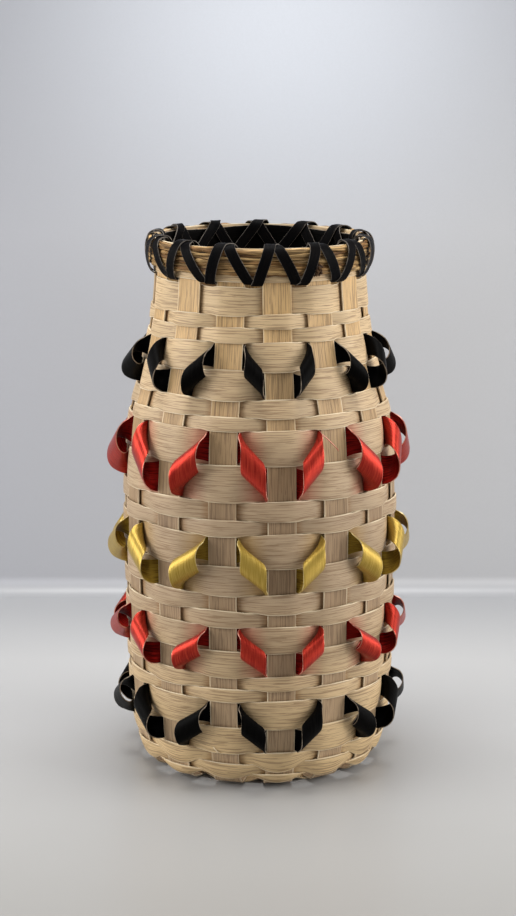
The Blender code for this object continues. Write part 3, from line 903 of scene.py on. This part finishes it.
def cut_ends(material):
    """The ragged cut ends of the sweetgrass, where the roll's two ends meet."""
    chance = np.random.default_rng(SEED)
    rise = rim_rise(direction_at(CUT_PLACE))
    for number in range(CUT_ENDS):
        out, height = roll_point(chance.uniform(*CUT_TURNS), 0.0)
        pitch = CUT_PLACE + chance.uniform(-CUT_SPREAD, CUT_SPREAD)
        drop, reach = chance.uniform(*CUT_DROPS), chance.uniform(*CUT_REACHES)
        start = (pitch, height + rise, out - STEM_RADIUS / 2)
        end = (pitch + chance.uniform(-CUT_SPREAD, CUT_SPREAD), height + rise - drop, out + reach)
        loose_fibre(f"sweetgrass_end_{number + 1}", start, end, CUT_RADIUS, material, "sweetgrass")


def lash_loop(lift):
    """One wrap round the rim as out and up, closed: outside up, over the top, inside down."""
    clear = FIT + LASH_THICKNESS / 2 + lift
    slot = HOOP_BOTTOM - clear
    top = GRASS_TOP + clear
    turn = np.linspace(LASH_FOOT_TURN, LASH_TOP_TURN, LASH_STEPS // 2)
    out, height = roll_point(turn, clear)
    outer = np.stack((out, height), axis=-1)
    inside = -HOOP_FACE - clear
    return np.concatenate(([(HOOP_FACE + clear, slot)], outer, [(inside, top), (inside, slot)]))


def rim_pass(node, direction, climb, lift, material):
    """A lashing strip wound once round the whole rim through every gap."""
    loop = lash_loop(lift)
    legs = np.vstack((loop, loop[:1]))
    distance = steps_along(legs, False)
    even = np.linspace(0.0, distance[-1], LASH_STEPS, endpoint=False)
    section = np.stack([np.interp(even, distance, legs[:, axis]) for axis in range(2)], axis=-1)
    section = softened(section, LASH_SOFTNESS, True)
    slope = directions_along(section, True)
    slot, top = loop[0][1], loop[:, 1].max()
    rise = np.clip((section[:, 1] - slot) / (top - slot), 0.0, 1.0)
    outside = np.arange(LASH_STEPS) < np.argmax(section[:, 1])
    inner_climb = 1.0 - climb - LASH_OVER_TOP
    progress = np.where(outside, climb * rise, 1.0 - inner_climb * rise)
    gaps = np.repeat(np.arange(UPRIGHTS), LASH_STEPS)
    chance = np.random.default_rng(SEED + direction)
    stray = np.repeat(chance.uniform(-LASH_VARIETY, LASH_VARIETY, UPRIGHTS), LASH_STEPS)
    progress = np.tile(progress, UPRIGHTS) + stray * np.tile(rise, UPRIGHTS)
    pitch = 0.5 + direction * (LASH_SLOT_SPREAD + gaps + progress)
    pitch = softened(pitch[:, None], 1, False)[:, 0]
    out, height = np.tile(section, (UPRIGHTS, 1)).T
    angle = direction_at(pitch)
    height = height + rim_rise(angle)
    radius = wall_radius(GRASS_TOP) + out
    path = outward(angle) * radius[:, None] + upward(height)
    normal = np.tile(slope, (UPRIGHTS, 1))
    normal = outward(angle) * normal[:, 1:] - upward(normal[:, 0])
    across = unit(np.cross(normal, directions_along(path, True)))
    made = ribbon(f"{node}_wound", path, across, LASH_WIDTH / 2, LASH_THICKNESS, True, material)
    stand_for(node)


def new_material(name):
    """A node material with its tree and its shader."""
    material = bpy.data.materials.new(name)
    material.use_nodes = True
    tree = material.node_tree
    return material, tree, tree.nodes["Principled BSDF"]


def put(tree, kind, inputs, **settings):
    """Adds a node with its inputs and settings."""
    made = tree.nodes.new(kind)
    for key, value in settings.items():
        setattr(made, key, value)
    join(tree, made, inputs)
    return made


def join(tree, node, inputs):
    """Sets a node's inputs to values, or joins them to other nodes' outputs."""
    for key, value in inputs.items():
        if isinstance(value, bpy.types.NodeSocket):
            tree.links.new(value, node.inputs[key])
        else:
            node.inputs[key].default_value = value


def marks(tree, length, width, detail=MIDDLE_DETAIL, bend=0.0):
    """Noise whose marks have a length along the strip, a width across it and a bend."""
    place = put(tree, "ShaderNodeUVMap", {}, uv_map=UV)
    scale = (1.0 / length, 1.0 / width, 1.0)
    drawn = put(tree, "ShaderNodeMapping", {"Vector": place.outputs["UV"], "Scale": scale})
    inputs = {"Vector": drawn.outputs["Vector"], "Scale": 1.0, "Detail": detail, "Distortion": bend}
    return put(tree, "ShaderNodeTexNoise", inputs, noise_dimensions="2D").outputs[0]


def spread(tree, value, start, end, low=0.0, high=1.0, kind="LINEAR"):
    """A value stretched from start..end to low..high and kept inside."""
    inputs = {"Value": value, "From Min": start, "From Max": end, "To Min": low, "To Max": high}
    return put(tree, "ShaderNodeMapRange", inputs, interpolation_type=kind).outputs["Result"]


def mixed(tree, share, first, second, kind="MIX"):
    """Two colours mixed by a share; a plain colour is given as three numbers."""
    pair = [(*colour, 1.0) if isinstance(colour, tuple) else colour for colour in (first, second)]
    inputs = {0: share, 6: pair[0], 7: pair[1]}
    return put(tree, "ShaderNodeMix", inputs, data_type="RGBA", blend_type=kind).outputs[2]


def mark_value(tree, label):
    """One of the values that every strip carries at its points."""
    return put(tree, "ShaderNodeAttribute", {}, attribute_name=label).outputs["Fac"]


def edge_value(tree, width):
    """One at a strip's cut edges, fading to nought at a distance in."""
    return spread(tree, mark_value(tree, EDGE), width / 3, width, 1.0, 0.0)


def height_value(tree, low, high):
    """Nought to one between two heights on the basket."""
    place = put(tree, "ShaderNodeNewGeometry", {})
    parts = put(tree, "ShaderNodeSeparateXYZ", {"Vector": place.outputs["Position"]})
    return spread(tree, parts.outputs["Z"], low, high)


def add_bump(tree, shader, height, strength, depth):
    inputs = {"Height": height, "Strength": strength, "Distance": depth}
    bump = put(tree, "ShaderNodeBump", inputs)
    join(tree, shader, {"Normal": bump.outputs["Normal"]})


def ash_material(name, wood, stain_and_light):
    """Shaved ash: pale wood with broken grain, painted shade where it tucks under, and pale cut
    edges, partly wear and partly painted highlight. Beside the curls the tuck tint is dye bleed
    with painted reflected colour.
    """
    material, tree, shader = new_material(name)
    grain = wood.grain
    colour = mixed(tree, height_value(tree, *ASH_NECK), wood.low, wood.high)
    colour = mixed(tree, height_value(tree, *ASH_FOOT), colour, wood.foot)
    patches = spread(tree, marks(tree, PATCH_LENGTH, PATCH_WIDTH), *PATCH_SHADES)
    colour = mixed(tree, 1.0, colour, grey_of(tree, patches), "MULTIPLY")
    fibres = marks(tree, grain.length * 2, grain.width / 2, FINE_DETAIL)
    lines = marks(tree, grain.length, grain.width, FINE_DETAIL, GRAIN_WAVER)
    dashes = spread(tree, lines, grain.start, grain.start + GRAIN_FADE, 0.0, grain.amount)
    faint = spread(tree, fibres, *FINE_GRAIN, 0.0, grain.amount / 2)
    colour = mixed(tree, faint, colour, wood.line)
    colour = mixed(tree, dashes, colour, wood.line)
    # Painted shade where the row tucks under; beside the curls, dye bleed with painted reflected
    # colour instead
    stain_and_light_share = spread(tree, mark_value(tree, TUCK), stain_and_light.start, stain_and_light.end, 0.0, stain_and_light.amount)
    colour = mixed(tree, stain_and_light_share, colour, stain_and_light.colour)
    # Pale edges: partly wear, partly painted highlight where the edges catch the light
    worn = spread(tree, marks(tree, grain.length, PATCH_WIDTH), *PALE_EDGE_AND_HIGHLIGHT_PATCHES)
    pale_edge_and_highlight = put_math(tree, "MULTIPLY", edge_value(tree, PALE_EDGE_AND_HIGHLIGHT_WIDTH), worn)
    colour = mixed(tree, pale_edge_and_highlight, colour, PALE_EDGE_AND_HIGHLIGHT)
    rough = spread(tree, fibres, *ASH_ROUGHNESS)
    inputs = {"Base Color": colour, "Roughness": rough, "Specular IOR Level": ASH_SPECULAR}
    join(tree, shader, inputs)
    add_bump(tree, shader, put_math(tree, "ADD", lines, fibres), *ASH_BUMP)
    return material


def put_math(tree, operation, first, second):
    return put(tree, "ShaderNodeMath", {0: first, 1: second}, operation=operation).outputs[0]


def grey_of(tree, value):
    return put(tree, "ShaderNodeCombineColor", {0: value, 1: value, 2: value}).outputs[0]


def dyed_material(name, dye):
    """Dyed satin splint: streaked along its length, pale where cut, duller and darker inside, the
    darkness partly painted shade.
    """
    material, tree, shader = new_material(name)
    streaks = marks(tree, *DYE_STREAKS, FINE_DETAIL)
    ripples = marks(tree, *DYE_RIPPLES, SOFT_DETAIL)
    inside = mark_value(tree, SIDE)
    colour = mixed(tree, spread(tree, streaks, *DYE_MIX), dye.deep, dye.bright)
    # The inside is darker: partly the duller back of the splint, partly painted shade
    inner_and_shade = mixed(tree, spread(tree, streaks, *DYE_DULL_MIX), dye.inner, dye.deep)
    colour = mixed(tree, spread(tree, inside, *DYE_INSIDE), colour, inner_and_shade)
    worn = spread(tree, marks(tree, WEAR_LENGTH, WEAR_LENGTH), *WEAR_PATCHES)
    cut = put_math(tree, "MULTIPLY", edge_value(tree, CUT_WIDTH), worn)
    smooth, rough = (dye.roughness + change for change in DYE_GLOSS_CHANGE)
    grain = put(tree, "ShaderNodeTangent", {}, direction_type="UV_MAP", uv_map=UV)
    inputs = {
        "Base Color": mixed(tree, cut, colour, dye.edge),
        "Roughness": spread(tree, streaks, *DYE_GLOSS_RANGE, smooth, rough),
        "Metallic": spread(tree, inside, *DYE_INSIDE, dye.satin, DULL_GLOSS),
        "Specular IOR Level": spread(tree, inside, *DYE_INSIDE, dye.specular, DULL_GLOSS),
        "Anisotropic": DYE_ANISOTROPY,
        "Tangent": grain.outputs["Tangent"],
    }
    join(tree, shader, inputs)
    add_bump(tree, shader, put_math(tree, "ADD", streaks, ripples), *DYE_BUMP)
    return material


def grass_material(name, grass):
    """Dried sweetgrass: each stem its own tone, with brown lines and worn patches."""
    material, tree, shader = new_material(name)
    tone = spread(tree, marks(tree, *GRASS_TONES, SOFT_DETAIL), *GRASS_TONE_MIX)
    colour = mixed(tree, tone, grass.tan, grass.pale)
    lines = marks(tree, *GRASS_LINES, FINE_DETAIL)
    lined = spread(tree, lines, *GRASS_LINE_MIX, 0.0, grass.amount)
    colour = mixed(tree, lined, colour, grass.brown)
    shade = spread(tree, marks(tree, *GRASS_WEAR), *GRASS_WEAR_MIX, 0.0, grass.amount)
    inputs = {
        "Base Color": mixed(tree, shade, colour, grass.brown),
        "Roughness": GRASS_ROUGHNESS,
        "Specular IOR Level": GRASS_SPECULAR,
    }
    join(tree, shader, inputs)
    add_bump(tree, shader, lines, *GRASS_BUMP)
    return material


def stage_material():
    """Pale floor and backdrop, clear from behind, their colours painted light and shade: a painted
    glow high up, painted shade at the top and to the left, and a floor painted darker at the front
    and back and paler far out.
    """
    material, tree, shader = new_material("floor_paper")
    place = put(tree, "ShaderNodeNewGeometry", {}).outputs["Position"]
    turn = (0.0, 0.0, -CAMERA_AZIMUTH)
    turned = put(tree, "ShaderNodeMapping", {"Vector": place, "Rotation": turn}).outputs["Vector"]
    parts = put(tree, "ShaderNodeSeparateXYZ", {"Vector": turned})
    aside, depth, height = (parts.outputs[axis] for axis in "XYZ")
    # Floor painted darker at the front and back and paler far out
    floor = mixed(tree, spread(tree, depth, *FLOOR_NEAR), FLOOR_FRONT, FLOOR_MIDDLE)
    floor = mixed(tree, spread(tree, depth, *FLOOR_FAR), floor, FLOOR_BACK)
    around = put(tree, "ShaderNodeVectorMath", {0: place}, operation="LENGTH").outputs["Value"]
    floor = mixed(tree, spread(tree, around, *FLOOR_ROUND), floor, FLOOR_OUTER)
    # Painted shade on the backdrop to the left and at the top, and a painted glow high up
    wall = mixed(tree, spread(tree, aside, *BACKDROP_SIDES), BACKDROP_LEFT, BACKDROP_RIGHT)
    wall = mixed(tree, spread(tree, height, *BACKDROP_RISE), wall, BACKDROP_TOP_SHADE)
    measured = {0: turned, 1: PAINTED_GLOW_CENTRE}
    away = put(tree, "ShaderNodeVectorMath", measured, operation="DISTANCE").outputs["Value"]
    painted_glow = spread(tree, away, 0.0, PAINTED_GLOW_RADIUS, 1.0, 0.0, "SMOOTHSTEP")
    wall = mixed(tree, painted_glow, wall, BACKDROP_PAINTED_GLOW)
    rise = spread(tree, height, *BACKDROP_FADE, 0.0, 1.0, "SMOOTHSTEP")
    colour = mixed(tree, rise, floor, wall)
    flecks = {"Vector": place, "Scale": FLECK_SCALE, "Detail": MIDDLE_DETAIL}
    grain = put(tree, "ShaderNodeTexNoise", flecks).outputs[0]
    colour = mixed(tree, spread(tree, grain, *FLECK_MIX), colour, FLOOR_FLECK)
    join(tree, shader, {"Base Color": colour, "Roughness": FLOOR_ROUGHNESS})
    add_bump(tree, shader, grain, *FLOOR_BUMP)
    behind = put(tree, "ShaderNodeNewGeometry", {}).outputs["Backfacing"]
    clear = put(tree, "ShaderNodeBsdfTransparent", {}).outputs["BSDF"]
    sides = put(tree, "ShaderNodeMixShader", {0: behind, 1: shader.outputs["BSDF"], 2: clear})
    join(tree, tree.nodes["Material Output"], {"Surface": sides.outputs["Shader"]})
    return material


def add_basket():
    """Every piece of the basket, each in its own material."""
    ash = ash_material("ash_weaver", WEAVER_ASH, TUCK_SHADE)
    beside = {
        "red": ash_material("ash_beside_red", WEAVER_ASH, RED_BLEED_AND_REFLECTION),
        "gold": ash_material("ash_beside_gold", WEAVER_ASH, GOLD_BLEED_AND_REFLECTION),
    }
    stake = ash_material("ash_upright", UPRIGHT_ASH, TUCK_SHADE)
    black = dyed_material("black_dye", BLACK_DYE)
    red = dyed_material("red_dye", RED_DYE)
    gold = dyed_material("gold_dye", GOLD_DYE)
    lashing = dyed_material("lashing_dye", LASHING_DYE)
    grass = grass_material("sweetgrass", STEM_GRASS)
    # The core's near-black colour is painted shade between the stems
    core_shade = grass_material("sweetgrass_core", CORE_SHADE_GRASS)
    dyes = {
        "black": (black, "black_splint"),
        "red": (red, "red_splint"),
        "gold": (gold, "gold_splint"),
    }
    for number in range(len(SPLINTS)):
        upright_splint(number, stake)
    for number in range(1, BASE_WEAVERS + 1):
        base_weaver(number, ash)
    curls = nodes_named("_curls")
    for row, (node, _, _) in enumerate(ROWS):
        group = node.split("_weaver_")[0]
        weaver(row, f"{group}_curls" in curls, beside.get(node.split("_")[0], ash))
    for node in curls:
        curl_band(node, *dyes[node.split("_")[0]])
    rim_hoop("outer_rim_hoop", 1.0, 0.0, ash)
    rim_hoop("inner_rim_hoop", -1.0, INNER_HOOP_DROP, black)
    sweetgrass_roll(grass, core_shade)
    cut_ends(grass_material("sweetgrass_ends", CUT_GRASS))
    loose_fibre("fibre_red", *RED_FIBRE, FIBRE_RADIUS, red, "red_splint")
    loose_fibre("fibre_foot", *FOOT_FIBRE, FIBRE_RADIUS, ash, "ash_weaver")
    loose_fibre("fibre_belly", *BELLY_FIBRE, FIBRE_RADIUS, black, "black_splint")
    rim_pass("lashing_forward", 1, LASH_CLIMBS[0], LASH_LIFTS[0], lashing)
    rim_pass("lashing_back", -1, LASH_CLIMBS[1], LASH_LIFTS[1], lashing)


def facing(angle):
    """Level direction away from the basket's axis."""
    return Vector((math.sin(angle), -math.cos(angle), 0.0))


def add_sheet(name, reach, height, material):
    """A wide sheet across the view, through places behind the basket and heights."""
    toward = -facing(CAMERA_AZIMUTH)
    aside = toward.cross(UP)
    corners = []
    for far, high in zip(reach, height):
        for side in (-STAGE_SIZE, STAGE_SIZE):
            corners.append(toward * far + aside * side + UP * high)
    faces = [(edge, edge + 1, edge + 3, edge + 2) for edge in range(0, len(corners) - 2, 2)]
    mesh = bpy.data.meshes.new(name)
    mesh.from_pydata(corners, [], faces)
    mesh.shade_smooth()
    mesh.materials.append(material)
    sheet = bpy.data.objects.new(name, mesh)
    bpy.context.scene.collection.objects.link(sheet)


def add_stage():
    """Floor and backdrop in one sweep, and more floor behind the backdrop."""
    material = stage_material()
    turn = np.linspace(0.0, math.pi / 2, SWEEP_STEPS)
    reach = SWEEP_START + SWEEP_RADIUS * np.sin(turn)
    height = SWEEP_RADIUS * (1 - np.cos(turn))
    reach = np.concatenate(([-STAGE_SIZE], reach, reach[-1:]))
    height = np.concatenate(([0.0], height, [STAGE_SIZE]))
    add_sheet("backdrop", reach, height, material)
    add_sheet("floor_behind", (SWEEP_START, STAGE_SIZE), (0.0, 0.0), material)


def add_lamp(name, place, size, power):
    """A square soft box turned to the middle of the basket."""
    light = bpy.data.lights.new(name, "AREA")
    light.size = size
    light.energy = power
    lamp = bpy.data.objects.new(name, light)
    lamp.location = place
    aim = UP * cad_high.z / 2 - lamp.location
    lamp.rotation_euler = aim.to_track_quat("-Z", "Y").to_euler()
    bpy.context.scene.collection.objects.link(lamp)


def add_lights():
    """Soft light from above and from both sides, under an even sky."""
    world = bpy.data.worlds.new("studio")
    world.use_nodes = True
    sky = world.node_tree.nodes["Background"]
    sky.inputs["Color"].default_value = (*SKY_COLOUR, 1.0)
    sky.inputs["Strength"].default_value = SKY_STRENGTH
    bpy.context.scene.world = world
    add_lamp("top_box", TOP_BOX, TOP_BOX_SIZE, TOP_BOX_POWER)
    for name, side in (("left_box", -1.0), ("right_box", 1.0)):
        place = facing(CAMERA_AZIMUTH + side * SIDE_BOX_TURN) * SIDE_BOX_DISTANCE
        add_lamp(name, place + UP * SIDE_BOX_HEIGHT, SIDE_BOX_SIZE, SIDE_BOX_POWER)


def add_camera():
    """The photograph's camera, fitted to the basket's outline."""
    away = facing(CAMERA_AZIMUTH)
    view = -away * math.cos(CAMERA_PITCH) - UP * math.sin(CAMERA_PITCH)
    right = view.cross(UP).normalized()
    turned = Matrix((right, right.cross(view), -view)).transposed()
    camera = bpy.data.objects.new("camera", bpy.data.cameras.new("camera"))
    camera.location = away * CAMERA_DISTANCE + UP * CAMERA_HEIGHT
    camera.rotation_euler = turned.to_euler()
    camera.data.sensor_width = SENSOR_MM
    camera.data.lens = FOCAL_PIXELS / IMAGE_HEIGHT * SENSOR_MM
    camera.data.shift_x = -AXIS_SHIFT_PIXELS / IMAGE_HEIGHT
    bpy.context.scene.collection.objects.link(camera)
    bpy.context.scene.camera = camera


add_basket()
add_stage()
add_lights()
add_camera()
bpy.context.scene.view_settings.view_transform = "Standard"
